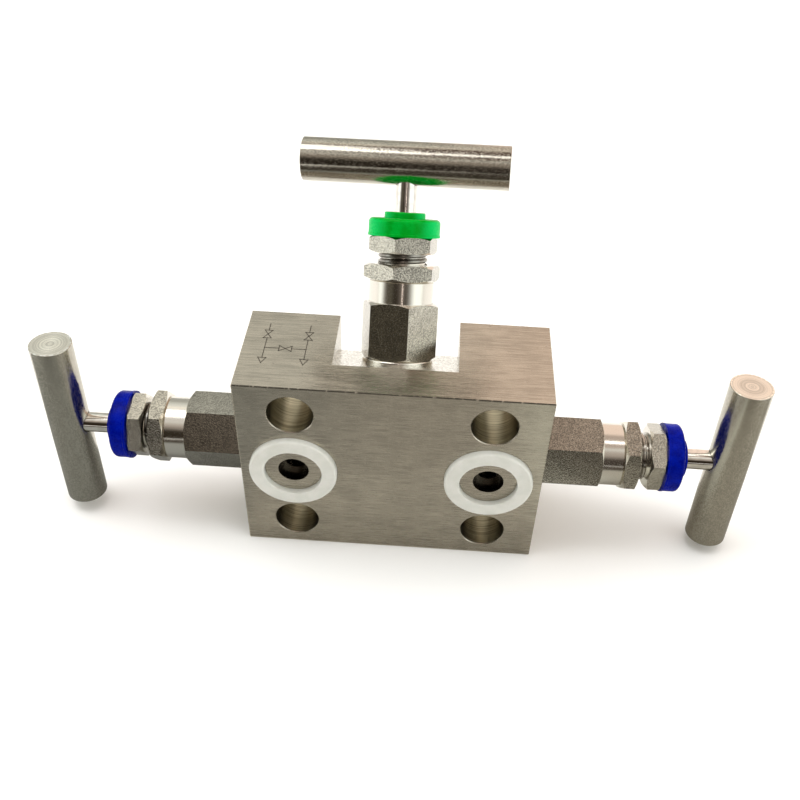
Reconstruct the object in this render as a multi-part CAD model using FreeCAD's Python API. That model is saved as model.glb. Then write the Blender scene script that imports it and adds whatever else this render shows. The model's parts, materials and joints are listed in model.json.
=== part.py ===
"""Three-valve manifold for a differential-pressure instrument.

A steel block bolts flange to flange behind the instrument and carries three needle valves of
one design: an isolate valve out of each end and an equalise valve on a slope in its top.
The origin is the centre of the bolt pattern on the instrument face. X runs along the isolate
valves, Y goes from the instrument towards the process side, and Z is up. Sizes are millimetres.
"""
import FreeCAD
import Part

import math
import os

Vector = FreeCAD.Vector

# Block and its machined faces
BLOCK_WIDTH = 83.5
BLOCK_DEPTH = 32.0
BLOCK_TOP = 30.1
BLOCK_BOTTOM = 30.6
BLOCK_EDGE_BREAK = 0.15
NOTCH_WIDTH = 33.6
NOTCH_FRONT = 10.4
NOTCH_TILT = 30.0

# Flange interface of the instrument: port spacing, bolts and face seals
PORT_SPACING = 54.0
BOLT_SPACING_X = 54.0
BOLT_SPACING_Z = 41.3
BOLT_HOLE_D = 12.5
BOLT_HOLE_CHAMFER = 0.22
PORT_MOUTH_D = 8.5
PORT_MOUTH_DEPTH = 4.0
PORT_D = 6.0
SEAL_OUTER_D = 24.4
SEAL_INNER_D = 16.0
SEAL_THICKNESS = 3.0
SEAL_PROUD = 1.75
SEAL_ROUND = 0.7
SEAL_INNER_ROUND = 0.35
SEAL_FIT = 0.1

# Half-inch taper-threaded process ports in the rear face, as their pilot bores
PROCESS_PILOT_D = 18.3
PROCESS_DEPTH = 13.5
PROCESS_CHAMFER = 1.5
PROCESS_DRILL_D = 4.0

# Where the isolate valves stand on the end faces, from the origin
ISOLATE_Y = 12.3
ISOLATE_Z = 1.65

# Valve cavity in the block, from the face that the bonnet seats on, downwards
BONNET_THREAD_D = 11.0
BONNET_THREAD_DEPTH = 10.2
BONNET_SEAL_THICKNESS = 1.0
CHAMBER_D = 8.0
CHAMBER_LENGTH = 6.8
ORIFICE_D = 4.0
ORIFICE_LENGTH = 5.0
DRILL_FLOOR = 0.3
CROSS_DRILL_D = 3.0
CROSS_DRILL_RISE = 4.2

# Valve bonnet
COLLAR_D = 19.6
COLLAR_HEIGHT = 1.0
COLLAR_ROUND = 0.35
BONNET_FLATS = 18.6
BONNET_SHOULDER = 16.35
BONNET_NECK_D = 17.6
BONNET_NECK_HEIGHT = 6.0
BONNET_FOOT_CONE = 1.0
PACKING_D = 10.4
PACKING_FLOOR = 6.0
PACKING_RING_HEIGHT = 2.5
PACKING_RINGS = 2
LEFT_PACKING_SQUEEZE = 1.0
FOLLOWER_HEIGHT = 2.1
FOLLOWER_PROUD = 1.05

# Packing adjuster, its lock nut and the dust cap on top
GLAND_THREAD_D = 13.4
GLAND_RELIEF_D = 12.2
GLAND_GAP = 2.9
GLAND_FLATS = 16.6
GLAND_HEAD_HEIGHT = 4.4
GLAND_NOSE_WALL = 1.5
LOCK_FLATS = 18.6
LOCK_HEIGHT = 4.25
CAP_D = 19.2
CAP_HEIGHT = 4.7
CAP_ROUND = 1.1
CAP_LIP = 0.12
CAP_LIP_HEIGHT = 0.6
CAP_BOSS_D = 11.0
CAP_BOSS_HEIGHT = 1.6
CAP_PLUG_D = 11.0
CAP_PLUG_LENGTH = 1.2
CAP_WALL = 1.4
CAP_RIB = 0.7

# Stem, needle and handle
STEM_D = 5.8
STEM_THREAD_D = 7.9
STEM_PITCH = 1.0
STEM_TURNS = 3.75
STEM_SHOWS = 6.9
NEEDLE_D = 6.8
NEEDLE_SKIRT = 1.2
NEEDLE_HALF_ANGLE = 30.0
NEEDLE_POINT_D = 1.2
SWIVEL_NECK_D = 2.0
SWIVEL_NECK_LENGTH = 1.0
SWIVEL_BUTTON_D = 3.0
SWIVEL_BUTTON_LENGTH = 1.0
BAR_D = 11.5
BAR_LENGTH = 55.0
BAR_CHAMFER = 0.1
BAR_BLIND_WALL = 2.0
LEFT_BAR_OFFSET = -0.3
RIGHT_BAR_OFFSET = 1.2
EQUALISE_BAR_OFFSET = -0.4
PIN_D = 2.5
PIN_WALL = 0.5
PIN_SLOT = 0.6
PIN_REACH = 1.6

# Clearances
RUNNING_FIT = 0.05
THREAD_FIT = 0.05
CAP_FIT = 0.1
BAR_FIT = 0.2
PIN_FIT = 0.02
SEAT_FIT = 0.05
AXIAL_FIT = 0.3

# Shared shape values
HEX_BEVEL = 28.0
SMALL_CHAMFER = 0.4
CUT_MARGIN = 1.0
SAME_SIZE = 1e-6

# Stations along a valve with its packing as fitted, outwards from its seating face
lift = STEM_PITCH * STEM_TURNS
bonnet_top = BONNET_SHOULDER + BONNET_NECK_HEIGHT
lock_top = bonnet_top + LOCK_HEIGHT
gland_underside = lock_top + GLAND_GAP
gland_top = gland_underside + GLAND_HEAD_HEIGHT
cap_top = gland_top + CAP_HEIGHT
boss_top = cap_top + CAP_BOSS_HEIGHT
bar_axis = boss_top + STEM_SHOWS + BAR_D / 2
packing_top = PACKING_FLOOR + PACKING_RINGS * PACKING_RING_HEIGHT
gland_nose = packing_top + FOLLOWER_HEIGHT
thread_floor = gland_nose - FOLLOWER_PROUD

# Stations below the seating face
seal_floor = -BONNET_THREAD_DEPTH - BONNET_SEAL_THICKNESS
seat = seal_floor - CHAMBER_LENGTH
orifice_end = seat - ORIFICE_LENGTH

# The needle closes with its cone just inside the seat's edge, and rests open by the full lift
cone_slope = math.tan(math.radians(NEEDLE_HALF_ANGLE))
closed_radius = ORIFICE_D / 2 - SEAT_FIT
needle_base = seat + (NEEDLE_D / 2 - closed_radius) / cone_slope + lift
needle_point = needle_base - (NEEDLE_D / 2 - NEEDLE_POINT_D / 2) / cone_slope
needle_top = needle_base + NEEDLE_SKIRT
stem_foot = needle_top + RUNNING_FIT

# Places on the block
face_x = BLOCK_WIDTH / 2
tilt = math.radians(NOTCH_TILT)
slope_y = (NOTCH_FRONT + BLOCK_DEPTH) / 2
slope_z = BLOCK_TOP - (slope_y - NOTCH_FRONT) * math.tan(tilt)
UP = Vector(0, 0, 1)
RIGHT = Vector(1, 0, 0)

# One row per valve: its seating point, outward axis, the direction that turns count from,
# the collar under its hexagon, how much further its packing is squeezed than as fitted, how far
# each piece is turned in degrees, and how far the middle of the handle bar lies from the stem
VALVES = {
    "left_isolate": {
        "seat_point": Vector(-face_x, ISOLATE_Y, ISOLATE_Z), "axis": Vector(-1, 0, 0),
        "zero": UP, "collar": 0.0, "squeeze": LEFT_PACKING_SQUEEZE,
        "bonnet_turn": 7.5, "lock_turn": 54.0, "gland_turn": 53.0,
        "handle_turn": 2.8, "bar_offset": LEFT_BAR_OFFSET},
    "right_isolate": {
        "seat_point": Vector(face_x, ISOLATE_Y, ISOLATE_Z), "axis": Vector(1, 0, 0),
        "zero": UP, "collar": 0.0, "squeeze": 0.0,
        "bonnet_turn": 14.5, "lock_turn": 16.5, "gland_turn": 34.0,
        "handle_turn": 175.65, "bar_offset": RIGHT_BAR_OFFSET},
    "equalise": {
        "seat_point": Vector(0, slope_y, slope_z),
        "axis": Vector(0, math.sin(tilt), math.cos(tilt)),
        "zero": RIGHT, "collar": COLLAR_HEIGHT, "squeeze": 0.0,
        "bonnet_turn": 14.6, "lock_turn": 49.2, "gland_turn": 48.9,
        "handle_turn": -4.4, "bar_offset": EQUALISE_BAR_OFFSET},
}


def turned(profile):
    """Solid of revolution about Z of a closed outline of (radius, height) points."""
    points = [Vector(radius, 0, height) for radius, height in profile]
    face = Part.Face(Part.makePolygon(points + points[:1]))
    return face.revolve(Vector(0, 0, 0), UP, 360)


def disc(diameter, low, high):
    """Cylinder on Z between two heights."""
    return Part.makeCylinder(diameter / 2, high - low, Vector(0, 0, low))


def circles(solid):
    """Circular edges of a solid."""
    return [edge for edge in solid.Edges if isinstance(edge.Curve, Part.Circle)]


def rings(solid, diameter, height):
    """Circular edges of a solid turned about Z, at one diameter and height."""
    return [edge for edge in circles(solid)
            if math.isclose(edge.Curve.Radius, diameter / 2, abs_tol=SAME_SIZE)
            and math.isclose(edge.Curve.Center.z, height, abs_tol=SAME_SIZE)]


def hexagon(flats, low, high, turn, foot_cone=None):
    """Hexagonal bar with turned bevels at both ends; foot_cone is a long bevel at the foot."""
    corner = flats / 2 / math.cos(math.radians(30))
    points = []
    for side in range(7):
        angle = math.radians(turn + 30 + 60 * side)
        points.append(Vector(corner * math.cos(angle), corner * math.sin(angle), low))
    bar = Part.Face(Part.makePolygon(points)).extrude(UP * (high - low))
    bevel_end = flats / 2
    bevel = (corner - bevel_end) * math.tan(math.radians(HEX_BEVEL))
    foot = bevel if foot_cone is None else foot_cone
    envelope = turned([(0, low), (bevel_end, low), (corner, low + foot), (corner, high - bevel),
                       (bevel_end, high), (0, high)])
    return bar.common(envelope)


def drilling(start, end, diameter):
    """Drilled passage between two points."""
    return Part.makeCylinder(diameter / 2, (end - start).Length, start, end - start)


def chamfered_hole(x, z, diameter, chamfer):
    """Through hole along Y with a bevelled mouth on both faces."""
    radius = diameter / 2
    mouth = radius + chamfer
    tool = Part.makeCylinder(radius, BLOCK_DEPTH, Vector(x, 0, z), Vector(0, 1, 0))
    near = Part.makeCone(mouth, radius, chamfer, Vector(x, 0, z), Vector(0, 1, 0))
    far = Part.makeCone(mouth, radius, chamfer, Vector(x, BLOCK_DEPTH, z), Vector(0, -1, 0))
    return tool.fuse([near, far])


def along(valve, station):
    """Point on a valve's axis at a station from its seating face."""
    row = VALVES[valve]
    return row["seat_point"] + row["axis"] * station


def placed(solid, valve, sunk=0.0):
    """Moves a piece from valve coordinates, with Z outwards, onto the block, sunk by a depth."""
    row = VALVES[valve]
    side = row["axis"].cross(row["zero"])
    turn = FreeCAD.Rotation(row["zero"], side, row["axis"], "ZXY")
    moved = solid.copy()
    moved.Placement = FreeCAD.Placement(along(valve, -sunk), turn).multiply(solid.Placement)
    return moved


def notch():
    """Wedge that clears the sloped seat of the equalise valve, open to the top and rear."""
    rear = BLOCK_DEPTH + CUT_MARGIN
    drop = (rear - NOTCH_FRONT) * math.tan(tilt)
    rise = CUT_MARGIN * math.tan(tilt)
    points = [Vector(-NOTCH_WIDTH / 2, NOTCH_FRONT - CUT_MARGIN, BLOCK_TOP + rise),
              Vector(-NOTCH_WIDTH / 2, rear, BLOCK_TOP - drop),
              Vector(-NOTCH_WIDTH / 2, rear, BLOCK_TOP + rise)]
    return Part.Face(Part.makePolygon(points + points[:1])).extrude(RIGHT * NOTCH_WIDTH)


def valve_cavity():
    """Threaded socket, flow chamber and seat orifice below a valve, in valve coordinates."""
    socket = disc(BONNET_THREAD_D, seal_floor, 0)
    chamber = disc(CHAMBER_D, seat, seal_floor)
    orifice = disc(ORIFICE_D, orifice_end, seat)
    return socket.fuse([chamber, orifice])


def flow_passages():
    """Drillings from the ports to the isolate valves and across to the equalise valve."""
    tools = []
    chamber_middle = (seal_floor + seat) / 2
    process_station = orifice_end + PROCESS_DRILL_D / 2 + DRILL_FLOOR
    cross_ends = {"left_isolate": chamber_middle, "right_isolate": (seat + orifice_end) / 2}
    for valve, equalise_station in cross_ends.items():
        side = VALVES[valve]["axis"].x
        port_x = side * PORT_SPACING / 2
        mouth = Vector(port_x, 0, 0)
        tools.append(drilling(mouth, Vector(port_x, ISOLATE_Y, 0), PORT_D))
        tools.append(drilling(mouth, Vector(port_x, PORT_MOUTH_DEPTH, 0), PORT_MOUTH_D))
        process_end = along(valve, process_station)
        process_start = Vector(process_end.x, BLOCK_DEPTH - PROCESS_DEPTH, process_end.z)
        tools.append(drilling(process_start, process_end, PROCESS_DRILL_D))
        cross_start = along(valve, chamber_middle) + UP * CROSS_DRILL_RISE
        tools.append(drilling(cross_start, along("equalise", equalise_station), CROSS_DRILL_D))
    return tools


def process_port(side):
    """Pilot bore of a threaded process port with its lead-in chamfer, from the rear face."""
    x = side * PORT_SPACING / 2
    radius = PROCESS_PILOT_D / 2
    inward = Vector(0, -1, 0)
    bore = Part.makeCylinder(radius, PROCESS_DEPTH, Vector(x, BLOCK_DEPTH, 0), inward)
    mouth = Part.makeCone(radius + PROCESS_CHAMFER, radius, PROCESS_CHAMFER,
                          Vector(x, BLOCK_DEPTH, 0), inward)
    return bore.fuse(mouth)


def seal_groove(side):
    """Ring groove in the instrument face that a port's seal sits in, round a flush land."""
    middle = Vector(side * PORT_SPACING / 2, 0, 0)
    depth = SEAL_THICKNESS - SEAL_PROUD
    inward = Vector(0, 1, 0)
    outer = Part.makeCylinder(SEAL_OUTER_D / 2 + SEAL_FIT, depth, middle, inward)
    land = Part.makeCylinder(SEAL_INNER_D / 2 - SEAL_FIT, depth, middle, inward)
    return outer.cut(land)


def body_block():
    """Machined block with its notch, flange holes, ports, seal grooves and valve cavities."""
    block = Part.makeBox(BLOCK_WIDTH, BLOCK_DEPTH, BLOCK_BOTTOM + BLOCK_TOP,
                         Vector(-face_x, 0, -BLOCK_BOTTOM))
    block = block.makeChamfer(BLOCK_EDGE_BREAK, block.Edges)
    tools = [notch()]
    for side in (-1, 1):
        for level in (-1, 1):
            tools.append(chamfered_hole(side * BOLT_SPACING_X / 2, level * BOLT_SPACING_Z / 2,
                                        BOLT_HOLE_D, BOLT_HOLE_CHAMFER))
        tools.append(seal_groove(side))
        tools.append(process_port(side))
    tools += flow_passages()
    tools += [placed(valve_cavity(), valve) for valve in VALVES]
    return block.cut(tools)


def port_seal(side):
    """Soft face-seal ring that stands proud of the instrument face, with a crowned front."""
    inner = SEAL_INNER_D / 2
    outer = SEAL_OUTER_D / 2
    ring = turned([(inner, 0), (outer, 0), (outer, SEAL_THICKNESS), (inner, SEAL_THICKNESS)])
    ring = ring.makeFillet(SEAL_ROUND, rings(ring, SEAL_OUTER_D, SEAL_THICKNESS))
    ring = ring.makeFillet(SEAL_INNER_ROUND, rings(ring, SEAL_INNER_D, SEAL_THICKNESS))
    ring.Placement = FreeCAD.Placement(
        Vector(side * PORT_SPACING / 2, SEAL_THICKNESS - SEAL_PROUD, 0),
        FreeCAD.Rotation(RIGHT, 90))
    return ring


def bonnet(collar, turn):
    """Valve bonnet: threaded nose, seating collar, hexagon and turned neck, bored through."""
    nose = disc(BONNET_THREAD_D - 2 * THREAD_FIT, -BONNET_THREAD_DEPTH, BONNET_SHOULDER)
    hexed = hexagon(BONNET_FLATS, collar, BONNET_SHOULDER, turn,
                    BONNET_FOOT_CONE if collar else SMALL_CHAMFER)
    neck = disc(BONNET_NECK_D, collar + BONNET_FOOT_CONE, bonnet_top)
    neck = neck.makeChamfer(SMALL_CHAMFER, rings(neck, BONNET_NECK_D, bonnet_top))
    pieces = [hexed, neck]
    if collar:
        ring = disc(COLLAR_D, 0, collar)
        pieces.append(ring.makeFillet(COLLAR_ROUND, rings(ring, COLLAR_D, collar)))
    solid = nose.fuse(pieces)
    bore = disc(STEM_D + 2 * RUNNING_FIT, -BONNET_THREAD_DEPTH, PACKING_FLOOR)
    packing_bore = disc(PACKING_D, PACKING_FLOOR, thread_floor)
    gland_bore = disc(GLAND_THREAD_D + 2 * THREAD_FIT, thread_floor, bonnet_top)
    return solid.cut([bore, packing_bore, gland_bore]).removeSplitter()


def bonnet_seal():
    """Metal ring that the bonnet's nose clamps against the floor of its socket."""
    outer = disc(BONNET_THREAD_D - 2 * THREAD_FIT, seal_floor, -BONNET_THREAD_DEPTH)
    return outer.cut(disc(CHAMBER_D, seal_floor, -BONNET_THREAD_DEPTH))


def packing_rings(squeeze):
    """Soft packing rings stacked round the stem, flattened between them by the squeeze."""
    stack = []
    inner = STEM_D / 2 + RUNNING_FIT
    outer = PACKING_D / 2 - RUNNING_FIT
    height = PACKING_RING_HEIGHT - squeeze / PACKING_RINGS
    for index in range(PACKING_RINGS):
        low = PACKING_FLOOR + index * height
        high = low + height
        stack.append(turned([(inner, low), (outer, low), (outer, high), (inner, high)]))
    return Part.makeCompound(stack)


def gland_follower():
    """Metal ring between the packing and the adjuster's nose."""
    outer = disc(PACKING_D - 2 * RUNNING_FIT, packing_top, gland_nose)
    return outer.cut(disc(STEM_D + 2 * RUNNING_FIT, packing_top, gland_nose))


def gland_bolt(turn):
    """Packing adjuster: hexagon head, thread relief, threaded shank and stepped bore."""
    head = hexagon(GLAND_FLATS, gland_underside, gland_top, turn)
    relief = disc(GLAND_RELIEF_D, lock_top, gland_underside)
    shank = disc(GLAND_THREAD_D, gland_nose, lock_top)
    shank = shank.makeChamfer(SMALL_CHAMFER, circles(shank))
    nose_wall = gland_nose + GLAND_NOSE_WALL
    plug_floor = gland_top - CAP_PLUG_LENGTH - CAP_FIT
    bores = [disc(STEM_D + 2 * RUNNING_FIT, gland_nose, nose_wall),
             disc(STEM_THREAD_D + 2 * RUNNING_FIT, nose_wall, plug_floor),
             disc(CAP_PLUG_D + 2 * CAP_FIT, plug_floor, gland_top)]
    return head.fuse([relief, shank]).cut(bores).removeSplitter()


def lock_nut(turn):
    """Thin nut that locks the adjuster against the bonnet's neck."""
    nut = hexagon(LOCK_FLATS, bonnet_top, lock_top, turn)
    return nut.cut(disc(GLAND_THREAD_D + 2 * THREAD_FIT, bonnet_top, lock_top))


def dust_cap():
    """Moulded cap with a lipped skirt, a boss round the stem and a plug into the adjuster."""
    hole = STEM_D / 2 + CAP_FIT
    plug = CAP_PLUG_D / 2
    skirt = CAP_D / 2
    boss = CAP_BOSS_D / 2
    lip_top = gland_top + CAP_LIP_HEIGHT
    plug_inside = plug - CAP_WALL
    groove_inside = plug + CAP_RIB
    profile = [(plug_inside, gland_top - CAP_PLUG_LENGTH), (plug, gland_top - CAP_PLUG_LENGTH),
               (plug, gland_top), (skirt + CAP_LIP, gland_top), (skirt + CAP_LIP, lip_top),
               (skirt, lip_top + CAP_LIP), (skirt, cap_top), (boss, cap_top), (boss, boss_top),
               (hole, boss_top), (hole, cap_top - CAP_WALL), (plug_inside, cap_top - CAP_WALL)]
    cap = turned(profile)
    cap = cap.makeFillet(CAP_ROUND, rings(cap, CAP_D, cap_top))
    cap = cap.makeFillet(SMALL_CHAMFER, rings(cap, CAP_BOSS_D, boss_top))
    groove = turned([(groove_inside, gland_top), (skirt - CAP_WALL, gland_top),
                     (skirt - CAP_WALL, cap_top - CAP_WALL), (groove_inside, cap_top - CAP_WALL)])
    return cap.cut(groove)


def needle():
    """Non-rotating needle that shuts the orifice, with the button that the stem lifts it by."""
    button_low = needle_top + SWIVEL_NECK_LENGTH
    button_high = button_low + SWIVEL_BUTTON_LENGTH
    return turned([(0, needle_point), (NEEDLE_POINT_D / 2, needle_point),
                   (NEEDLE_D / 2, needle_base), (NEEDLE_D / 2, needle_top),
                   (SWIVEL_NECK_D / 2, needle_top), (SWIVEL_NECK_D / 2, button_low),
                   (SWIVEL_BUTTON_D / 2, button_low), (SWIVEL_BUTTON_D / 2, button_high),
                   (0, button_high)])


def pin_hole():
    """Hole for the handle's pin: blind from the rear of the bar, through the stem."""
    front = STEM_D / 2 + BAR_FIT + PIN_REACH
    return Part.makeCylinder(PIN_D / 2, front + BAR_D / 2, Vector(0, -front, bar_axis),
                             Vector(0, 1, 0))


def stem(turn):
    """Threaded stem with the needle's socket at its foot and the handle's pin hole at its head."""
    thread_low = gland_nose + GLAND_NOSE_WALL + lift + AXIAL_FIT
    thread_high = gland_top - CAP_PLUG_LENGTH - CAP_FIT - AXIAL_FIT
    head = bar_axis + BAR_D / 2 - BAR_BLIND_WALL - BAR_FIT
    shaft = disc(STEM_D, stem_foot, head)
    thread = disc(STEM_THREAD_D, thread_low, thread_high)
    thread = thread.makeChamfer(SMALL_CHAMFER, circles(thread))
    neck_top = needle_top + SWIVEL_NECK_LENGTH - RUNNING_FIT
    socket_top = neck_top + SWIVEL_BUTTON_LENGTH + 2 * RUNNING_FIT
    cuts = [disc(SWIVEL_NECK_D + 2 * RUNNING_FIT, stem_foot, neck_top),
            disc(SWIVEL_BUTTON_D + 2 * RUNNING_FIT, neck_top, socket_top),
            pin_hole()]
    solid = shaft.fuse(thread).cut(cuts)
    solid.rotate(Vector(0, 0, 0), UP, turn)
    return solid


def t_bar(turn, offset):
    """Handle bar across the stem, with a blind hole for it and a blind pin hole behind."""
    end = Vector(offset - BAR_LENGTH / 2, 0, bar_axis)
    bar = Part.makeCylinder(BAR_D / 2, BAR_LENGTH, end, RIGHT)
    bar = bar.makeChamfer(BAR_CHAMFER, circles(bar))
    stem_hole = disc(STEM_D + 2 * BAR_FIT, bar_axis - BAR_D / 2,
                     bar_axis + BAR_D / 2 - BAR_BLIND_WALL)
    solid = bar.cut([stem_hole, pin_hole()])
    solid.rotate(Vector(0, 0, 0), UP, turn)
    return solid


def handle_pin(turn):
    """Slotted spring pin that fixes the bar to the stem."""
    front = STEM_D / 2 + BAR_FIT + PIN_REACH - AXIAL_FIT
    rear = BAR_D / 2 - AXIAL_FIT
    length = front + rear
    start = Vector(0, -front, bar_axis)
    outer = Part.makeCylinder(PIN_D / 2 - PIN_FIT, length, start, Vector(0, 1, 0))
    inner = Part.makeCylinder(PIN_D / 2 - PIN_WALL, length, start, Vector(0, 1, 0))
    slot = Part.makeBox(PIN_SLOT, length, PIN_D, start - Vector(PIN_SLOT / 2, 0, 0))
    solid = outer.cut([inner, slot])
    solid.rotate(Vector(0, 0, 0), UP, turn)
    return solid


def valve_pieces(valve):
    """Every piece of one valve by node name: what rests on the packing sinks as it is squeezed."""
    row = VALVES[valve]
    squeeze = row["squeeze"]
    seated = {
        "bonnet": bonnet(row["collar"], row["bonnet_turn"]),
        "bonnet_seal": bonnet_seal(),
        "packing_rings": packing_rings(squeeze),
        "lock_nut": lock_nut(row["lock_turn"]),
    }
    sinking = {
        "gland_follower": gland_follower(),
        "gland_bolt": gland_bolt(row["gland_turn"]),
        "dust_cap": dust_cap(),
        "needle": needle(),
        "stem": stem(row["handle_turn"]),
        "t_bar": t_bar(row["handle_turn"], row["bar_offset"]),
        "handle_pin": handle_pin(row["handle_turn"]),
    }
    nodes = {f"{valve}_{name}": placed(solid, valve) for name, solid in seated.items()}
    for name, solid in sinking.items():
        nodes[f"{valve}_{name}"] = placed(solid, valve, squeeze)
    return nodes


def main():
    nodes = {"body_block": body_block(),
             "left_port_seal": port_seal(-1),
             "right_port_seal": port_seal(1)}
    for valve in VALVES:
        nodes.update(valve_pieces(valve))
    os.makedirs("parts", exist_ok=True)
    for name, shape in nodes.items():
        shape.exportStep(f"parts/{name}.step")
        print(name, len(shape.Solids), round(shape.Volume, 2), shape.isValid())


main()
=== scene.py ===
"""Looks of a three-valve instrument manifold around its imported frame.

Everything is in metres in the frame's own axes: X along the isolate valves, Y from the instrument
face to the process face, Z up. Values whose names end in _MM are millimetres, and shaders work in
millimetres too. Angles are in degrees, and a pair of limits is where a change begins and ends.
"""

import json
import math

import bmesh
import bpy
from mathutils import Matrix, Vector


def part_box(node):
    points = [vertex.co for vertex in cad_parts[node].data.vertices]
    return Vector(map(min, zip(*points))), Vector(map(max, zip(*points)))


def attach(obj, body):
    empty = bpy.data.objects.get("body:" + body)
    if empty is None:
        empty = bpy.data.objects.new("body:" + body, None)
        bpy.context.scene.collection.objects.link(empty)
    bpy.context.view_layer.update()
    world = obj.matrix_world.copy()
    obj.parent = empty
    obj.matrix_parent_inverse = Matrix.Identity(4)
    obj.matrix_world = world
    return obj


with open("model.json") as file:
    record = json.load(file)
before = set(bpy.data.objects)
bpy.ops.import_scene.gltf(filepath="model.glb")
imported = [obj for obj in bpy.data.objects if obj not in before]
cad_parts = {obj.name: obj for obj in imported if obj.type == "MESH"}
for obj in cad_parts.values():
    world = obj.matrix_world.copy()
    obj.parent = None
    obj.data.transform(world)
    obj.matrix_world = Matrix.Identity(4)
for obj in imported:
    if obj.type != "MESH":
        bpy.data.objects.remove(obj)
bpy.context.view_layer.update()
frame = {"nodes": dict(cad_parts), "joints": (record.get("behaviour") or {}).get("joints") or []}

MM = 0.001


def colour(red, green, blue):
    return (red, green, blue, 1.0)


def shade(base, factor):
    """A colour made lighter or darker."""
    return colour(*(min(1.0, part * factor) for part in base[:3]))


# Camera, solved from the block's corners and holes
FOCAL_PIXELS = 928.4
IMAGE_PIXELS = 800.0
SENSOR_MM = 36.0
CAMERA_PLACE_MM = (9.272, -175.543, 188.584)
CAMERA_ELEVATION = 42.364
CAMERA_YAW = 2.347
CAMERA_ROLL = 1.891
PIXEL_CENTRE = 0.5
NEAREST_SEEN = 0.01

# Block: its bores, the painted shade along the front-top edge and the painted highlight along the
# front-left edge, the painted shade on its top before the equalise valve, and where the painted
# shade on the sides of a bolt hole begins, as a share of its radius
BOLT_SPACING_MM = (54.0, 41.3)
BOLT_HOLE_RADIUS_MM = 6.25
PORT_SPACING_MM = 54.0
PORT_MOUTH_MM = 4.25
BORE_MARGIN_MM = (0.06, 0.02)
EDGE_SHADE_MM = 0.28
EDGE_BLUR_MM = 0.05
CORNER_HIGHLIGHT_MM = (0.3, 0.2)
SHADED_PATCH_DEPTH_MM = 5.0
SHADED_PATCH_RADIUS_MM = (13.0, 4.0)
DRILLED_SHADE_SHARE = 0.45

# Hexagons: across flats, grain per millimetre and contrast of the mottling
HEXAGONS = {"bonnet": (18.6, 3.1, 0.46), "lock_nut": (18.6, 3.0, 0.5),
            "gland_bolt": (16.6, 3.0, 0.4)}
FACET_MARGIN_MM = (0.12, 0.04)
NECK_HEIGHT_MM = 6.0
NECK_BLUR_MM = 0.05
COLLAR_MM = 1.0
FOOT_MARGIN_MM = (-0.02, 0.03)
# Painted shadow under the lock nut: where it begins and where it is full, below the neck's top
NUT_SHADOW_MM = (0.45, 0.3)

# Handle bars: radius, rim where the facing cut left chips, with painted glints on them, and how
# each bar is turned
BAR_RADIUS_MM = 5.75
CHIPPED_RIM_MM = (0.7, 0.4)
HANDLE_TURN = {"left_isolate": 2.8, "right_isolate": 175.65, "equalise": -4.4}
ZERO = {"left_isolate": Vector((0, 0, 1)), "right_isolate": Vector((0, 0, 1)),
        "equalise": Vector((1, 0, 0))}

# Adjuster thread that shows between the two nuts, and how far its ends are sunk in them
GLAND_HEAD_MM = 4.4
GLAND_CREST_MM = 6.7
GLAND_ROOT_MM = 6.08
GLAND_PITCH_MM = 1.5
GLAND_LAND_MM = 0.42
GLAND_SUNK_MM = 0.2

# Taper thread of the process ports, from past the lead-in chamfer
PIPE_ROOT_MM = 9.12
PIPE_CREST_MM = 8.5
PIPE_PITCH_MM = 1.814
PIPE_LAND_MM = 0.3
PIPE_REACH_MM = (2.6, 12.2)

# Half the width of a thread's ridge at its root, as a share of the pitch
ROOT_SHARE = 0.48

# Flow diagram on the left wing: two runs with a valve sign and an arrow each, and a cross run
MARK_CENTRE_MM = (-30.0, 18.0)
MARK_WIDTH_MM = 0.26
MARK_HEIGHT_MM = 0.02
RUN_PLACE_MM = 5.6
RUN_HALF_MM = 8.4
SIGN_PLACE_MM = 3.8
SIGN_LENGTH_MM = 1.7
SIGN_WIDTH_MM = 1.1
CROSS_PLACE_MM = -2.0
ARROW_LENGTH_MM = 2.2
ARROW_WIDTH_MM = 1.1

# Colours of the steel, and how much lighter or darker some pieces are than their like: painted
# light and shade on the bars' faced ends, and painted shade on the adjuster threads between the
# nuts
BLOCK_COLOUR = colour(0.472, 0.432, 0.366)
# Milled slope, made lighter as a painted reflection
MILLED_REFLECTION_COLOUR = colour(0.92, 0.90, 0.84)
DRILLED_LOW = colour(0.42, 0.39, 0.31)
DRILLED_HIGH = colour(0.80, 0.76, 0.64)
# Painted shade on the sides of a bolt hole
DRILLED_SIDE_SHADE = colour(0.26, 0.24, 0.18)
HEX_COLOUR = colour(0.50, 0.475, 0.415)
TURNED_COLOUR = colour(0.72, 0.69, 0.63)
BAR_COLOUR = colour(0.46, 0.435, 0.375)
FACED_COLOUR = colour(0.72, 0.69, 0.62)
STEM_COLOUR = colour(0.78, 0.75, 0.70)
MARK_LOW = colour(0.035, 0.028, 0.022)
MARK_HIGH = colour(0.10, 0.085, 0.065)
FACED_PAINTED_LIGHT = {"left_isolate": 1.17, "right_isolate": 0.96, "equalise": 1.0}
THREAD_PAINTED_SHADE = {"left_isolate": 0.22, "right_isolate": 0.62, "equalise": 0.38}

# Colours of the plastics: of a cap its body, its flow marks and its sides, whose lighter colour is
# painted light
CAP_BLUE = (colour(0.0, 0.003, 0.17), colour(0.0, 0.008, 0.30), colour(0.0, 0.005, 0.20))
CAP_GREEN = (colour(0.0, 0.28, 0.012), colour(0.0, 0.37, 0.03), colour(0.0, 0.62, 0.13))
SEAL_LOW = colour(0.68, 0.69, 0.64)
SEAL_HIGH = colour(0.75, 0.75, 0.71)

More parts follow.
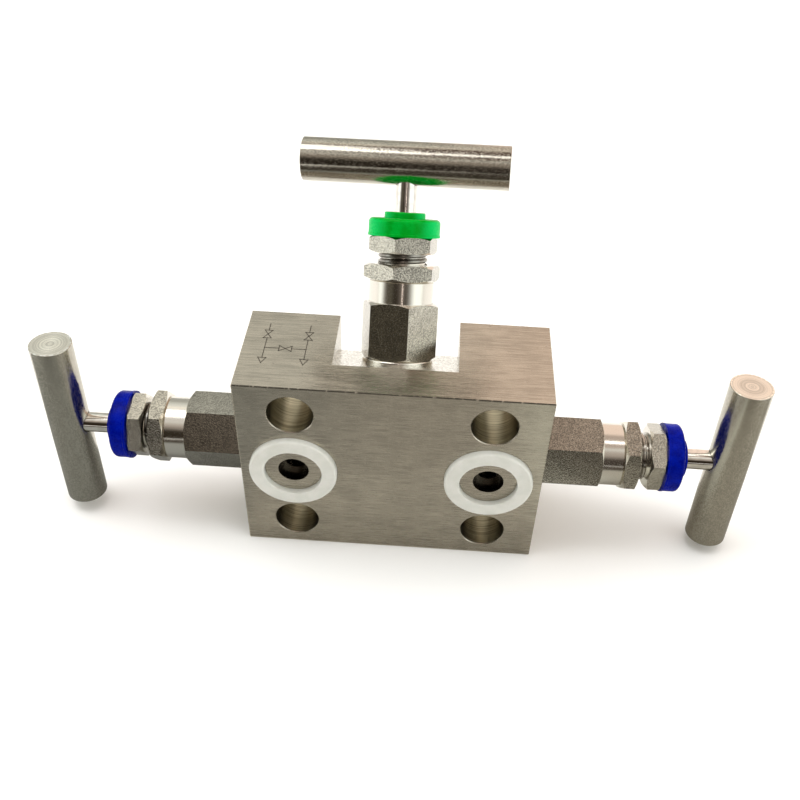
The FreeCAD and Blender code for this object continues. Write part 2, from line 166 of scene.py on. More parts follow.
# Table and the wall round it, in metres
TABLE_HALF = 2.5
TABLE_LOW = colour(0.93, 0.93, 0.925)
TABLE_HIGH = colour(0.95, 0.95, 0.95)
WALL_RADIUS = 2.4
WALL_HEIGHT = 4.0
WALL_BELOW = 0.1
WALL_SEGMENTS = 128
WALL_LOW = colour(0.93, 0.93, 0.925)
WALL_HIGH = colour(0.96, 0.96, 0.96)

# Card that only the steel's reflections see, with the table before the block painted on it as
# light and shade: painted shades in bands across it near the block, painted light at the block's
# foot, and painted dark further off
CARD_RISE = 0.0004
CARD_SIDE_MM = 210.0
CARD_REAR_MM = 35.0
CARD_FRONT_MM = -2400.0
CARD_DARK_MM = (-112.0, -84.0)
CARD_MIDDLE_MM = (-62, 8)
CARD_BRIGHT_MM = (34, 48)
CARD_RIGHT_MM = (54, 72)
CARD_FOOT_DEPTH_MM = (-45, -10)
CARD_FOOT_SIDE_MM = (50, 40)
CARD_DARK = colour(0.03, 0.022, 0.014)
CARD_LEFT = colour(0.25, 0.26, 0.25)
CARD_MIDDLE = colour(0.355, 0.345, 0.315)
CARD_BRIGHT = colour(0.60, 0.62, 0.57)
CARD_RIGHT = colour(0.34, 0.33, 0.29)
CARD_FOOT = colour(0.48, 0.47, 0.43)

# Room that the steel mirrors: names that end in RISE are limits of the elevation, and those of the
# side walls, the front and the dim part of the front are limits of the azimuth. ACROSS and AHEAD
# are limits of a direction's own X and Y parts
SIDE_WALLS = colour(1.50, 1.55, 1.48)
SIDE_FROM_REAR = (75, 45)
REAR_LOW = colour(0.50, 0.50, 0.45)
REAR_HIGH = colour(0.90, 0.91, 0.84)
REAR_RISE = (22, 42)
REAR_TOP = colour(1.35, 1.27, 1.12)
REAR_TOP_RISE = (46, 58)
WARM_PATCH = colour(1.15, 0.92, 0.78)
WARM_ACROSS = (-0.06, 0.08)
WARM_AHEAD = (0.1, 0.4)
CEILING_LEFT = colour(1.0, 0.97, 0.93)
CEILING_MIDDLE = colour(0.20, 0.13, 0.10)
CEILING_MIDDLE_ACROSS = (-0.24, -0.16)
CEILING_RIGHT = colour(0.60, 0.49, 0.41)
CEILING_RIGHT_ACROSS = (0.08, 0.14)
CEILING_RISE = (55, 66)
FRONT_WALL = colour(0.52, 0.45, 0.39)
FRONT_LEFT = (-74, -48)
FRONT_RIGHT = (56, 18)
FRONT_RISE = (80, 42)
DIM_LEFT = colour(0.10, 0.088, 0.065)
DIM_RIGHT = colour(0.03, 0.022, 0.014)
DIM_TURN = (-36, -20)
DIM_TILT = 0.3
DIM_RISE = (41, 19)

# Lights: places and sizes in metres
LIGHTS = {
    "soft_box": {"place": (-0.57, 0.11, 1.1), "target": (-0.57, 0.11, 0), "size": (0.70, 0.50),
                 "radiance": 3.2},
    "tube": {"place": (0.0, -0.05, 1.1), "target": (0.0, -0.05, 0), "size": (1.1, 0.17),
             "radiance": 2.3},
    "front_strip": {"place": (0.115, -0.85, 0.33), "target": (0, 0.03, 0.04), "size": (0.02, 0.5),
                    "radiance": 4.0, "tint": (1.0, 0.85, 0.78)},
    "table_fill": {"place": (0, 0.1, 1.3), "target": (0, 0, 0), "size": (1.2, 1.2),
                   "radiance": 1.6}}


class Valve:
    """A valve's own axes: the seating point, the outward axis, and the zero of its turns."""

    def __init__(self, name):
        joint = next(j for j in frame["joints"] if j["name"] == f"{name}_turn")
        self.name = name
        self.seat = Vector(joint["pos_m"])
        self.axis = Vector(joint["axis"]).normalized()
        self.zero = ZERO[name]
        self.side = self.axis.cross(self.zero)
        self.inward = Matrix((self.zero, self.side, self.axis))

    def span(self, piece):
        """Lowest and highest station of a piece along the axis, in metres from the seating face."""
        vertices = frame["nodes"][f"{self.name}_{piece}"].data.vertices
        stations = [(vertex.co - self.seat).dot(self.axis) for vertex in vertices]
        return min(stations), max(stations)

    def bar_axes(self):
        """Rotation from the row frame to the handle bar's own axes, with Z along the bar."""
        turn = math.radians(HANDLE_TURN[self.name])
        along = self.zero * math.cos(turn) + self.side * math.sin(turn)
        across = along.cross(self.axis)
        return Matrix((self.axis, across, along))


VALVES = {name: Valve(name) for name in HANDLE_TURN}


class Shader:
    """A material's or world's node tree, with short calls for the nodes that it needs."""

    def __init__(self, owner):
        owner.use_nodes = True
        self.nodes = owner.node_tree.nodes
        self.links = owner.node_tree.links
        self.coordinates = self.nodes.new("ShaderNodeTexCoord")

    def feed(self, socket, value):
        """Links a socket to another node's output, or sets it to a constant."""
        if isinstance(value, bpy.types.NodeSocket):
            self.links.new(value, socket)
        else:
            socket.default_value = value

    def math(self, operation, *values):
        node = self.nodes.new("ShaderNodeMath")
        node.operation = operation
        for socket, value in zip(node.inputs, values):
            self.feed(socket, value)
        return node.outputs[0]

    def both(self, first, second):
        """Share that is one only where two shares are."""
        return self.math("MULTIPLY", first, second)

    def weighted(self, *terms):
        """Sum of values, each times its weight."""
        parts = [self.math("MULTIPLY", value, weight) for value, weight in terms]
        total = parts.pop()
        while parts:
            total = self.math("ADD", parts.pop(), total)
        return total

    def mapped(self, output, kind="POINT", scale=(1, 1, 1), turn=None, offset=(0, 0, 0)):
        """A coordinate output, scaled, then turned, then moved."""
        node = self.nodes.new("ShaderNodeMapping")
        node.vector_type = kind
        self.feed(node.inputs["Vector"], output)
        node.inputs["Scale"].default_value = scale
        if turn is not None:
            node.inputs["Rotation"].default_value = turn.to_euler()
        if kind == "POINT":
            node.inputs["Location"].default_value = offset
        return node.outputs[0]

    def point_mm(self, origin=Vector((0, 0, 0)), turn=None):
        """Object coordinates in millimetres from a place, in axes of its own."""
        offset = -Vector(origin) / MM
        if turn is not None:
            offset = turn @ offset
        return self.mapped(self.coordinates.outputs["Object"], scale=(1 / MM,) * 3, turn=turn,
                           offset=offset)

    def normal(self, turn=None):
        """Surface normal in the object's space, or in axes of its own."""
        output = self.coordinates.outputs["Normal"]
        return output if turn is None else self.mapped(output, "VECTOR", turn=turn)

    def split(self, vector):
        """The three parts of a vector."""
        node = self.nodes.new("ShaderNodeSeparateXYZ")
        self.feed(node.inputs[0], vector)
        return node.outputs

    def step(self, value, low, high, start=0.0, end=1.0):
        """Smooth change from start to end while the value goes from low to high."""
        node = self.nodes.new("ShaderNodeMapRange")
        node.interpolation_type = "SMOOTHSTEP"
        self.feed(node.inputs["Value"], value)
        for name, number in zip(("From Min", "From Max", "To Min", "To Max"),
                                (low, high, start, end)):
            self.feed(node.inputs[name], number)
        return node.outputs[0]

    def noise(self, point, scale=1.0, detail=2.0, roughness=0.55):
        node = self.nodes.new("ShaderNodeTexNoise")
        self.feed(node.inputs["Vector"], point)
        node.inputs["Scale"].default_value = scale
        node.inputs["Detail"].default_value = detail
        node.inputs["Roughness"].default_value = roughness
        return node.outputs[0]

    def radius(self, x, y):
        """Distance from an axis, from the two coordinates across it."""
        return self.math("SQRT", self.math("ADD", self.math("MULTIPLY", x, x),
                                           self.math("MULTIPLY", y, y)))

    def ring_point(self, radius, along):
        """Point that is the same all round an axis, for noise in rings."""
        node = self.nodes.new("ShaderNodeCombineXYZ")
        self.feed(node.inputs[0], radius)
        self.feed(node.inputs[2], self.math("MULTIPLY", along, 0.02))
        return node.outputs[0]

    def direction(self, x, y, z, turn):
        """Direction in the world, from one in axes of the piece's own."""
        node = self.nodes.new("ShaderNodeCombineXYZ")
        for socket, value in zip(node.inputs, (x, y, z)):
            self.feed(socket, value)
        local = self.mapped(node.outputs[0], "VECTOR", turn=turn.transposed())
        world = self.nodes.new("ShaderNodeVectorTransform")
        world.vector_type = "VECTOR"
        world.convert_from = "OBJECT"
        world.convert_to = "WORLD"
        self.feed(world.inputs[0], local)
        return world.outputs[0]

    def blend(self, share, first, second, kind="RGBA"):
        """Mix of two colours or two numbers by a share."""
        node = self.nodes.new("ShaderNodeMix")
        node.data_type = kind
        self.feed(node.inputs["Factor"], share)
        first_socket, second_socket = [s for s in node.inputs if s.enabled][-2:]
        self.feed(first_socket, first)
        self.feed(second_socket, second)
        return next(s for s in node.outputs if s.enabled)

    def bump(self, height, depth_mm, strength=1.0):
        """Normal of a height field."""
        node = self.nodes.new("ShaderNodeBump")
        node.inputs["Strength"].default_value = strength
        node.inputs["Distance"].default_value = depth_mm * MM
        self.feed(node.inputs["Height"], height)
        return node.outputs[0]


class Finish(Shader):
    """A new material, with its surface's own sockets at hand."""

    def __init__(self, name):
        self.material = bpy.data.materials.new(name)
        super().__init__(self.material)
        self.surface = self.nodes["Principled BSDF"]

    def put(self, **values):
        """Feeds the surface's sockets, by name with underscores for spaces."""
        for name, value in values.items():
            self.feed(self.surface.inputs[name.replace("_", " ")], value)


def bore_wall(s, distance, radius_mm, facing, limits):
    """Share that is one on a bore's wall, by the distance to its axis and the normal along it."""
    outer, inner = BORE_MARGIN_MM
    return s.both(s.step(distance, radius_mm + outer, radius_mm + inner),
                  s.step(s.math("ABSOLUTE", facing), *limits))


def brushed(s, point, streaks):
    """Colour of the block's brushed faces: streaks, broad bands, patches and dark specks."""
    broad = s.noise(s.mapped(point, scale=(0.02, 0.35, 0.35)), detail=3.0)
    patches = s.noise(point, 0.12, 4.0, 0.65)
    specks = s.noise(s.mapped(point, scale=(0.7, 1.6, 1.6)))
    tone = s.weighted((streaks, 0.65), (broad, 0.1), (patches, 0.25))
    flat = s.blend(s.step(tone, 0.40, 0.60), shade(BLOCK_COLOUR, 0.80), shade(BLOCK_COLOUR, 1.17))
    return s.blend(s.step(specks, 0.70, 0.76), flat, shade(BLOCK_COLOUR, 0.6))


def faces_with_painted_light(s, point, flat):
    """The block's faces with the slope left by the milling cutter, lightened as a painted
    reflection, painted shade along the front-top edge broken by nicks, painted shade on the top
    before the equalise valve, painted shade inside the ports and a painted highlight along the
    front-left edge."""
    low, high = (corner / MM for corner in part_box("body_block"))
    x, y, z = s.split(point)
    _, ny, nz = s.split(s.normal())

    # The milled slope, lightened as a painted reflection of the bright table behind it
    slope = s.both(s.step(nz, 0.78, 0.84), s.step(ny, 0.42, 0.48))
    milled_and_reflection = s.blend(s.step(s.noise(point, 1.6, 3.0, 0.7), 0.44, 0.56), shade(BLOCK_COLOUR, 0.9),
                     MILLED_REFLECTION_COLOUR)
    flat = s.blend(slope, flat, milled_and_reflection)

    # Painted shade: a dark line along the front-top edge, broken where the nicks are
    rim = high.z - EDGE_SHADE_MM
    edge = s.both(s.step(y, EDGE_SHADE_MM + EDGE_BLUR_MM, EDGE_SHADE_MM - EDGE_BLUR_MM),
                  s.step(z, rim - EDGE_BLUR_MM, rim + EDGE_BLUR_MM))
    nicks = s.noise(s.mapped(point, scale=(0.8, 0.4, 0.4)), detail=3.0)
    flat = s.blend(s.both(edge, s.step(nicks, 0.62, 0.55)), flat, shade(BLOCK_COLOUR, 0.22))

    # Painted shade: a darker patch on the top face before the equalise valve
    shaded_patch = s.step(s.radius(x, s.math("SUBTRACT", y, SHADED_PATCH_DEPTH_MM)), *SHADED_PATCH_RADIUS_MM)
    flat = s.blend(s.both(shaded_patch, s.step(nz, 0.95, 0.99)), flat, shade(BLOCK_COLOUR, 0.60))

    # Painted shade inside the process ports
    across = s.math("SUBTRACT", s.math("ABSOLUTE", x), PORT_SPACING_MM / 2)
    port = bore_wall(s, s.radius(across, z), PORT_MOUTH_MM, ny, (0.6, 0.4))
    flat = s.blend(port, flat, shade(BLOCK_COLOUR, 0.16))

    # Painted highlight: a bright line along the front-left edge
    outer, inner = CORNER_HIGHLIGHT_MM
    corner = s.both(s.step(y, outer, inner), s.step(x, low.x + outer, low.x + inner))
    return s.blend(corner, flat, shade(BLOCK_COLOUR, 1.8))


def block_steel():
    """Brushed faces with painted light and shade, and bolt holes with the rings that the drill left
    and painted shade on their sides.
    """
    s = Finish("block_steel")
    point = s.point_mm()
    x, _, z = s.split(point)
    nx, ny, _ = s.split(s.normal())
    along_x = s.noise(s.mapped(point, scale=(0.13, 4.0, 4.0)), 1.0, 4.0, 0.65)
    along_y = s.noise(s.mapped(point, scale=(4.0, 0.13, 4.0)), 1.0, 4.0, 0.65)
    streaks = s.blend(s.step(s.math("ABSOLUTE", nx), 0.6, 0.9), along_x, along_y, "FLOAT")
    flat = faces_with_painted_light(s, point, brushed(s, point, streaks))

    across = s.math("SUBTRACT", s.math("ABSOLUTE", x), BOLT_SPACING_MM[0] / 2)
    upward = s.math("SUBTRACT", s.math("ABSOLUTE", z), BOLT_SPACING_MM[1] / 2)
    in_hole = bore_wall(s, s.radius(across, upward), BOLT_HOLE_RADIUS_MM, ny, (0.4, 0.2))
    rings = s.noise(s.mapped(point, scale=(0.04, 2.2, 0.04)), 1.0, 3.0, 0.7)
    fine = s.noise(s.mapped(point, scale=(0.3, 6.0, 0.3)))
    # Painted shade: the sides of each bolt hole darken across it
    beside = s.step(s.math("ABSOLUTE", across), DRILLED_SHADE_SHARE * BOLT_HOLE_RADIUS_MM,
                    BOLT_HOLE_RADIUS_MM)
    drilled = s.blend(beside, s.blend(s.step(rings, 0.35, 0.65), DRILLED_LOW, DRILLED_HIGH),
                      DRILLED_SIDE_SHADE)
    height = s.blend(in_hole, streaks, s.math("ADD", rings, s.math("MULTIPLY", fine, 0.4)), "FLOAT")
    s.put(Base_Color=s.blend(in_hole, flat, drilled), Metallic=1.0,
          Roughness=s.blend(in_hole, s.step(streaks, 0.3, 0.7, 0.20, 0.31), 0.30, "FLOAT"),
          Normal=s.bump(height, 0.03, 0.7))
    return s.material


def hex_steel(name, valve, flats_mm, grain, contrast, foot=None, neck=None):
    """Mottled bar-stock facets between turned bevels and ends. Where the piece has a neck, it is
    turned too, with a painted shadow under the nut; stations are in millimetres along the valve."""
    s = Finish(name)
    point = s.point_mm(valve.seat, valve.inward)
    x, y, station = s.split(point)
    slope = s.math("ABSOLUTE", s.split(s.normal(valve.inward))[2])
    sideways = s.step(slope, 0.2, 0.1)
    far, near = FACET_MARGIN_MM
    facet = s.both(sideways, s.step(s.radius(x, y), flats_mm / 2 - far, flats_mm / 2 - near))
    turned = TURNED_COLOUR
    if neck is not None:
        facet = s.both(facet, s.step(station, neck + NECK_BLUR_MM, neck - NECK_BLUR_MM))
        # Painted shadow: a dark band at the top of the neck, under the lock nut
        top = neck + NECK_HEIGHT_MM
        below, above = NUT_SHADOW_MM
        nut_shadow = s.both(s.step(station, top - below, top - above), sideways)
        turned = s.blend(nut_shadow, TURNED_COLOUR, shade(TURNED_COLOUR, 0.15))
    if foot is not None:
        below, above = FOOT_MARGIN_MM
        facet = s.both(facet, s.step(station, foot + below, foot + above))
    speckle = s.noise(point, grain, 2.0, 0.6)
    cloud = s.noise(point, 0.3, 3.0)
    rings = s.noise(s.mapped(point, scale=(0.05, 0.05, 7.0)))
    tone = s.weighted((speckle, 0.8), (cloud, 0.2))
    rough = s.blend(s.step(tone, 0.36, 0.62), shade(HEX_COLOUR, 1 - contrast),
                    shade(HEX_COLOUR, 1 + contrast * 0.55))
    height = s.blend(facet, s.math("MULTIPLY", rings, 0.07), speckle, "FLOAT")
    s.put(Base_Color=s.blend(facet, turned, rough), Metallic=1.0,
          Roughness=s.blend(facet, 0.17, 0.16, "FLOAT"), Normal=s.bump(height, 0.042, 1.0))
    return s.material


def turned_steel(name, origin, turn, base=TURNED_COLOUR, roughness=0.2):
    """Turned steel with fine rings round an axis of its own."""
    s = Finish(name)
    point = s.point_mm(origin, turn)
    rings = s.noise(s.mapped(point, scale=(0.05, 0.05, 9.0)))
    cloud = s.noise(point, 0.5)
    s.put(Base_Color=s.blend(s.step(cloud, 0.3, 0.7), shade(base, 0.9), shade(base, 1.08)),
          Metallic=1.0, Roughness=s.step(rings, 0.3, 0.7, roughness * 0.8, roughness * 1.2),
          Normal=s.bump(rings, 0.003, 0.5))
    return s.material


def faced_end(s, point, rings, radius, base):
    """Colour of a bar's faced end: rings of the cut, and bright glints painted on the chipped rim.
    """
    faced = s.blend(s.step(rings, 0.35, 0.65), shade(base, 0.8), shade(base, 1.2))
    # Painted glints on the chipped rim of the faced end
    start, full = CHIPPED_RIM_MM
    glinting_chips = s.both(s.step(s.noise(point, 1.1), 0.52, 0.58),
                   s.step(radius, BAR_RADIUS_MM - start, BAR_RADIUS_MM - full))
    return s.blend(glinting_chips, faced, shade(base, 1.35))


def bar_steel(name, valve):
    """Satin handle bar with fine grain along it, and faced ends whose gloss runs in rings."""
    s = Finish(name)
    low, high = valve.span("t_bar")
    turn = valve.bar_axes()
    point = s.point_mm(valve.seat + valve.axis * (low + high) / 2, turn)
    x, y, along = s.split(point)
    end = s.step(s.math("ABSOLUTE", s.split(s.normal(turn))[2]), 0.75, 0.95)
    radius = s.radius(x, y)
    grain = s.noise(s.mapped(point, scale=(1, 1, 0.7)), 2.6, 2.0, 0.6)
    cloud = s.noise(s.mapped(point, scale=(1, 1, 0.4)), 0.45, 3.0, 0.6)
    rings = s.noise(s.ring_point(radius, along), 1.3, 3.0, 0.7)
    tone = s.weighted((grain, 0.75), (cloud, 0.25))
    side = s.blend(s.step(tone, 0.38, 0.62), shade(BAR_COLOUR, 0.82), shade(BAR_COLOUR, 1.16))
    # Painted light and shade: each valve's faced end is made lighter or darker by its own factor
    faced = faced_end(s, point, rings, radius, shade(FACED_COLOUR, FACED_PAINTED_LIGHT[valve.name]))
    height = s.blend(end, grain, s.math("MULTIPLY", rings, 0.5), "FLOAT")
    stretch = s.direction(s.math("MULTIPLY", x, end), s.math("MULTIPLY", y, end),
                          s.math("SUBTRACT", 1.0, end), turn)
    s.put(Base_Color=s.blend(end, side, faced), Metallic=1.0, Anisotropic=0.7,
          Roughness=s.blend(end, s.step(grain, 0.35, 0.65, 0.12, 0.26), 0.26, "FLOAT"),
          Tangent=stretch, Normal=s.bump(height, 0.02, 0.8))
    return s.material


def moulded_plastic(name, body, flow_mark, side):
    """Moulded plastic with slight flow marks and orange peel, and painted light on its sides."""
    s = Finish(name)
    point = s.point_mm()
    flow = s.noise(point, 0.35, 3.0)
    peel = s.noise(point, 2.2)
    # Painted light: faces whose normal runs along X take the lighter side colour
    beside = s.step(s.math("ABSOLUTE", s.split(s.normal())[0]), 0.35, 0.95)
    s.put(Base_Color=s.blend(beside, s.blend(s.step(flow, 0.3, 0.7), body, flow_mark), side),
          Roughness=s.step(peel, 0.3, 0.7, 0.24, 0.34), IOR=1.45, Specular_IOR_Level=0.05,
          Subsurface_Weight=0.15, Subsurface_Scale=0.8 * MM, Subsurface_Radius=(0.6, 1.0, 0.6),
          Normal=s.bump(peel, 0.02, 0.25))
    return s.material


def fluoropolymer(name):
    """White soft seal material, slightly translucent, with a faint grain."""
    s = Finish(name)
    point = s.point_mm()
    cloud = s.noise(point, 0.25, 3.0)
    fine = s.noise(point, 3.0)
    s.put(Base_Color=s.blend(s.step(cloud, 0.3, 0.7), SEAL_LOW, SEAL_HIGH),
          Roughness=s.step(fine, 0.3, 0.7, 0.34, 0.46), IOR=1.35, Subsurface_Weight=0.3,
          Subsurface_Scale=1.5 * MM, Subsurface_Radius=(1.0, 1.0, 0.9),
          Normal=s.bump(fine, 0.02, 0.2))
    return s.material


def marked_steel():
    """Dark oxide left by a marking laser."""
    s = Finish("marked_steel")
    grain = s.noise(s.point_mm(), 6.0, 3.0)
    s.put(Base_Color=s.blend(s.step(grain, 0.35, 0.65), MARK_LOW, MARK_HIGH), Metallic=0.3,
          Roughness=0.55, Normal=s.bump(grain, 0.02, 0.4))
    return s.material


def assign(piece, material):
    """Gives an object one material in place of those it has."""
    piece.data.materials.clear()
    piece.data.materials.append(material)


def dress_valve(name, valve, cap, seal):
    """Puts a finished material on every piece of one valve."""
    ring = turned_steel(f"{name}_ring_steel", valve.seat, valve.inward)
    stem = turned_steel(f"{name}_stem_steel", valve.seat, valve.inward, STEM_COLOUR, 0.08)
    collar = COLLAR_MM if name == "equalise" else 0.0
    neck = valve.span("lock_nut")[0] / MM - NECK_HEIGHT_MM
    materials = {
        "bonnet": hex_steel(f"{name}_bonnet_steel", valve, *HEXAGONS["bonnet"], collar, neck),
        "lock_nut": hex_steel(f"{name}_lock_nut_steel", valve, *HEXAGONS["lock_nut"]),
        "gland_bolt": hex_steel(f"{name}_gland_steel", valve, *HEXAGONS["gland_bolt"]),
        "t_bar": bar_steel(f"{name}_bar_steel", valve),
        "dust_cap": cap, "packing_rings": seal, "bonnet_seal": ring, "gland_follower": ring,
        "handle_pin": ring, "needle": stem, "stem": stem}
    for piece, material in materials.items():
        assign(frame["nodes"][f"{name}_{piece}"], material)


def dress_frame():
    """Puts a finished material on every piece of the frame."""
    seal = fluoropolymer("seal_ptfe")
    green = moulded_plastic("cap_green", *CAP_GREEN)
    blue = moulded_plastic("cap_blue", *CAP_BLUE)
    assign(frame["nodes"]["body_block"], block_steel())
    for side in ("left", "right"):
        assign(frame["nodes"][f"{side}_port_seal"], seal)
    for name, valve in VALVES.items():
        dress_valve(name, valve, green if name == "equalise" else blue, seal)


def new_object(name, mesh):
    """Adds an object made of a bmesh to the scene, and frees the bmesh."""
    data = bpy.data.meshes.new(name)
    mesh.to_mesh(data)
    mesh.free()
    made = bpy.data.objects.new(name, data)
    bpy.context.collection.objects.link(made)
    return made


def helix(name, root, crest, land, pitch, low, high, turn, origin, per_turn=72):
    """Closed helical thread about an axis, from its root radius to a flat land at its crest.

    The root radius may be the larger one, which makes the thread of a bore.
    """
    outward = turn.transposed()
    mesh = bmesh.new()
    rows = []
    for index in range(round((high - low) / pitch * per_turn) + 1):
        angle = 2 * math.pi * index / per_turn
        height = low + pitch * index / per_turn
        row = []
        for radius, rise in ((root, -pitch * ROOT_SHARE), (crest, -land / 2), (crest, land / 2),
                             (root, pitch * ROOT_SHARE)):
            local = Vector((radius * math.cos(angle), radius * math.sin(angle), height + rise))
            row.append(mesh.verts.new(outward @ (local * MM) + origin))
        rows.append(row)
    for first, second in zip(rows, rows[1:]):
        for corner in range(4):
            beside = (corner + 1) % 4
            mesh.faces.new((first[corner], first[beside], second[beside], second[corner]))
    mesh.faces.new(reversed(rows[0]))
    mesh.faces.new(rows[-1])
    bmesh.ops.recalc_face_normals(mesh, faces=mesh.faces)
    return new_object(name, mesh)


def adjuster_threads():
    """The length of each adjuster's thread that shows between its head and the lock nut."""
    for name, valve in VALVES.items():
        lock_top = valve.span("lock_nut")[1] / MM
        underside = valve.span("gland_bolt")[1] / MM - GLAND_HEAD_MM
        thread = helix(f"{name}_adjuster_thread", GLAND_ROOT_MM, GLAND_CREST_MM, GLAND_LAND_MM,
                       GLAND_PITCH_MM, lock_top - GLAND_SUNK_MM, underside + GLAND_SUNK_MM,
                       valve.inward, valve.seat)
        # Painted shade: each adjuster thread between its nuts is darkened by its own factor
        assign(thread, turned_steel(f"{name}_thread_steel", valve.seat, valve.inward,
                                    shade(TURNED_COLOUR, THREAD_PAINTED_SHADE[name]), 0.16))
        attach(thread, "body")


def pipe_threads():
    """Thread of each process port, cut in from the rear face."""
    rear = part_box("body_block")[1].y
    inward = Matrix(((1, 0, 0), (0, 0, 1), (0, -1, 0)))
    for side, name in ((-1, "left"), (1, "right")):
        origin = Vector((side * PORT_SPACING_MM / 2 * MM, rear, 0))
        thread = helix(f"{name}_pipe_thread", PIPE_ROOT_MM, PIPE_CREST_MM, PIPE_LAND_MM,
                       PIPE_PITCH_MM, *PIPE_REACH_MM, inward, origin)
        assign(thread, turned_steel(f"{name}_pipe_steel", origin, inward, BLOCK_COLOUR, 0.25))
        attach(thread, "body")


def bow_tie(centre, upright):
    """Four lines of a valve sign: two triangles that meet at their points."""
    corners = [(-SIGN_WIDTH_MM, -SIGN_LENGTH_MM), (SIGN_WIDTH_MM, -SIGN_LENGTH_MM),
               (-SIGN_WIDTH_MM, SIGN_LENGTH_MM), (SIGN_WIDTH_MM, SIGN_LENGTH_MM)]
    if not upright:
        corners = [(b, a) for a, b in corners]
    a, b, c, d = [(centre[0] + p, centre[1] + q) for p, q in corners]
    return [(a, b), (b, c), (c, d), (d, a)]


def strokes():
    """Lines of the flow diagram, in millimetres from its centre: two runs, each with a valve
    sign and an arrow, and a cross run with a third valve sign."""
    lines = []
    for side in (-1, 1):
        x = side * RUN_PLACE_MM
        base = ARROW_LENGTH_MM - RUN_HALF_MM
        tip = (x, -RUN_HALF_MM)
        left, right = (x - ARROW_WIDTH_MM, base), (x + ARROW_WIDTH_MM, base)
        lines += [((x, RUN_HALF_MM), (x, SIGN_PLACE_MM + SIGN_LENGTH_MM)),
                  ((x, SIGN_PLACE_MM - SIGN_LENGTH_MM), (x, base))]
        lines += bow_tie((x, SIGN_PLACE_MM), upright=True)
        lines += [(tip, left), (left, right), (right, tip)]
        lines.append(((x, CROSS_PLACE_MM), (side * SIGN_LENGTH_MM, CROSS_PLACE_MM)))
    lines += bow_tie((0, CROSS_PLACE_MM), upright=False)
    return lines


def flow_diagram():
    """Marks the flow diagram on the left wing's top face, as one thin closed solid per line."""
    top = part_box("body_block")[1].z
    mesh = bmesh.new()
    for start, end in strokes():
        first, second = Vector(start), Vector(end)
        along = (second - first).normalized() * MARK_WIDTH_MM / 2
        across = Vector((-along.y, along.x))
        outline = [first - along - across, second + along - across, second + along + across,
                   first - along + across]
        low, high = [[mesh.verts.new(((MARK_CENTRE_MM[0] + p.x) * MM,
                                      (MARK_CENTRE_MM[1] + p.y) * MM, top + height * MM))
                      for p in outline] for height in (-MARK_HEIGHT_MM, MARK_HEIGHT_MM)]
        mesh.faces.new(reversed(low))
        mesh.faces.new(high)
        for corner in range(4):
            beside = (corner + 1) % 4
            mesh.faces.new((low[corner], low[beside], high[beside], high[corner]))
    marks = new_object("flow_diagram", mesh)
    assign(marks, marked_steel())
    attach(marks, "body")


def place_camera():
    """Camera of the photograph."""
    data = bpy.data.cameras.new("camera")
    data.sensor_width = SENSOR_MM
    data.lens = FOCAL_PIXELS / IMAGE_PIXELS * SENSOR_MM
    data.clip_start = NEAREST_SEEN
    camera = bpy.data.objects.new("camera", data)
    bpy.context.collection.objects.link(camera)
    turn = (Matrix.Rotation(math.radians(CAMERA_YAW), 4, "Z")
            @ Matrix.Rotation(math.radians(90 - CAMERA_ELEVATION), 4, "X")
            @ Matrix.Rotation(math.radians(CAMERA_ROLL), 4, "Z"))
    camera.matrix_world = Matrix.Translation(Vector(CAMERA_PLACE_MM) * MM) @ turn
    data.shift_x = -PIXEL_CENTRE / IMAGE_PIXELS
    data.shift_y = PIXEL_CENTRE / IMAGE_PIXELS
    bpy.context.scene.camera = camera


def plane(name, low, high, height):
    """Flat rectangle of the stage between two corners at a height, in metres."""
    mesh = bmesh.new()
    corners = [mesh.verts.new((x, y, height)) for x, y in
               ((low[0], low[1]), (high[0], low[1]), (high[0], high[1]), (low[0], high[1]))]
    mesh.faces.new(corners)
    flat = new_object(name, mesh)
    return flat


def studio_floor():
    """White matt table under the block."""
    floor = plane("studio_floor", (-TABLE_HALF, -TABLE_HALF), (TABLE_HALF, TABLE_HALF),
                  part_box("body_block")[0].z)
    s = Finish("studio_floor")
    cloud = s.noise(s.point_mm(), 0.01)
    s.put(Base_Color=s.blend(cloud, TABLE_LOW, TABLE_HIGH), Roughness=0.6, Specular_IOR_Level=0.0)
    assign(floor, s.material)


def studio_backdrop():
    """Pale wall round the table, which the camera sees and the steel doesn't mirror."""
    mesh = bmesh.new()
    bmesh.ops.create_cone(mesh, cap_ends=False, segments=WALL_SEGMENTS, radius1=WALL_RADIUS,
                          radius2=WALL_RADIUS, depth=WALL_HEIGHT)
    bmesh.ops.translate(mesh, verts=mesh.verts, vec=(0, 0, WALL_HEIGHT / 2 - WALL_BELOW))
    wall = new_object("studio_backdrop", mesh)
    s = Finish("studio_backdrop")
    cloud = s.noise(s.point_mm(), 0.001)
    s.put(Base_Color=colour(0, 0, 0), Roughness=1.0, Specular_IOR_Level=0.0,
          Emission_Color=s.blend(cloud, WALL_LOW, WALL_HIGH), Emission_Strength=1.0)
    assign(wall, s.material)
    wall.visible_glossy = False
    wall.visible_diffuse = False
    wall.visible_shadow = False


